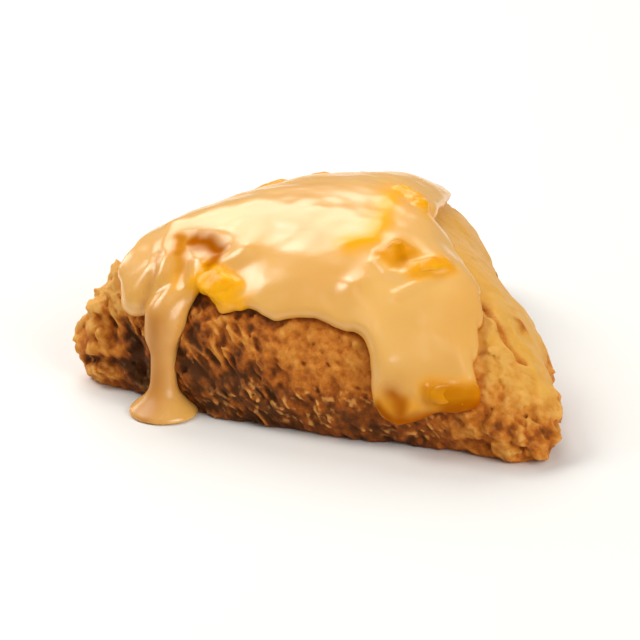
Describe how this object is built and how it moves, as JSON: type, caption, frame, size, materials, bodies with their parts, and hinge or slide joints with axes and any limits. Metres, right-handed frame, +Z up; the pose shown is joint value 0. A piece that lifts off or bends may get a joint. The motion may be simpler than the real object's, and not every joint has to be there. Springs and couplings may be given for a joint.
{
  "type": "glazed scone",
  "caption": "Baked wedge scone with a craggy crust, a thick poured glaze running down its sides in drips, and pieces of candied citrus peel set in the glaze.",
  "frame": {"origin": "middle of the footprint of the whole, on the surface that the scone stands on", "axes": "+Z up, the round outer edge of the wedge towards -Y, its point towards +Y"},
  "size_m": [0.1014, 0.0964, 0.0359],
  "materials": {
    "crust": "dry, craggy, browned towards the base",
    "glaze": "glossy, slightly translucent",
    "peel": "sticky gloss, translucent"
  },
  "bodies": {
    "root": {"dough": "crust", "glaze": "glaze", "peel_1": "peel", "peel_2": "peel", "peel_3": "peel", "peel_4": "peel", "peel_5": "peel", "peel_6": "peel", "peel_7": "peel", "peel_8": "peel"}
  },
  "joints": []
}
